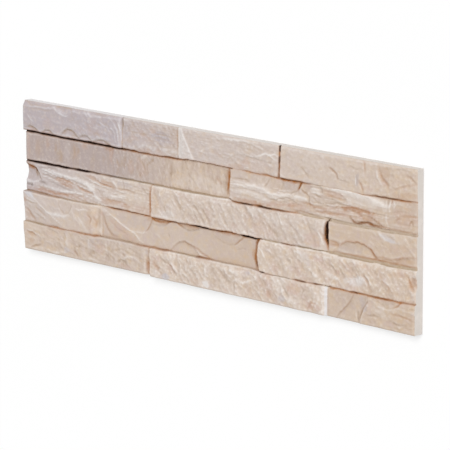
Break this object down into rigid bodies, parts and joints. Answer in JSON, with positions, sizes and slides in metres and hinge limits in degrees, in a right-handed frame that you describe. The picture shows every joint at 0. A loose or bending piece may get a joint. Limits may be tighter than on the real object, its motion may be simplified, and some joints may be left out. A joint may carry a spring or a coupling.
{
  "type": "wall cladding tile",
  "caption": "Thin rectangular wall cladding tile, cast in one piece, with courses of split-stone relief on its face and a flat back that is bonded to a wall.",
  "frame": {"origin": "middle of the flat back, in the plane that the tile lies on", "axes": "+X along the tile's length, to the right of its face; +Y up the courses as they hang on a wall; +Z out of the relief face"},
  "size_m": [0.525, 0.15, 0.0139],
  "materials": {
    "cast_stone": "matt"
  },
  "bodies": {
    "root": {"cladding_tile": "cast_stone"}
  },
  "joints": []
}
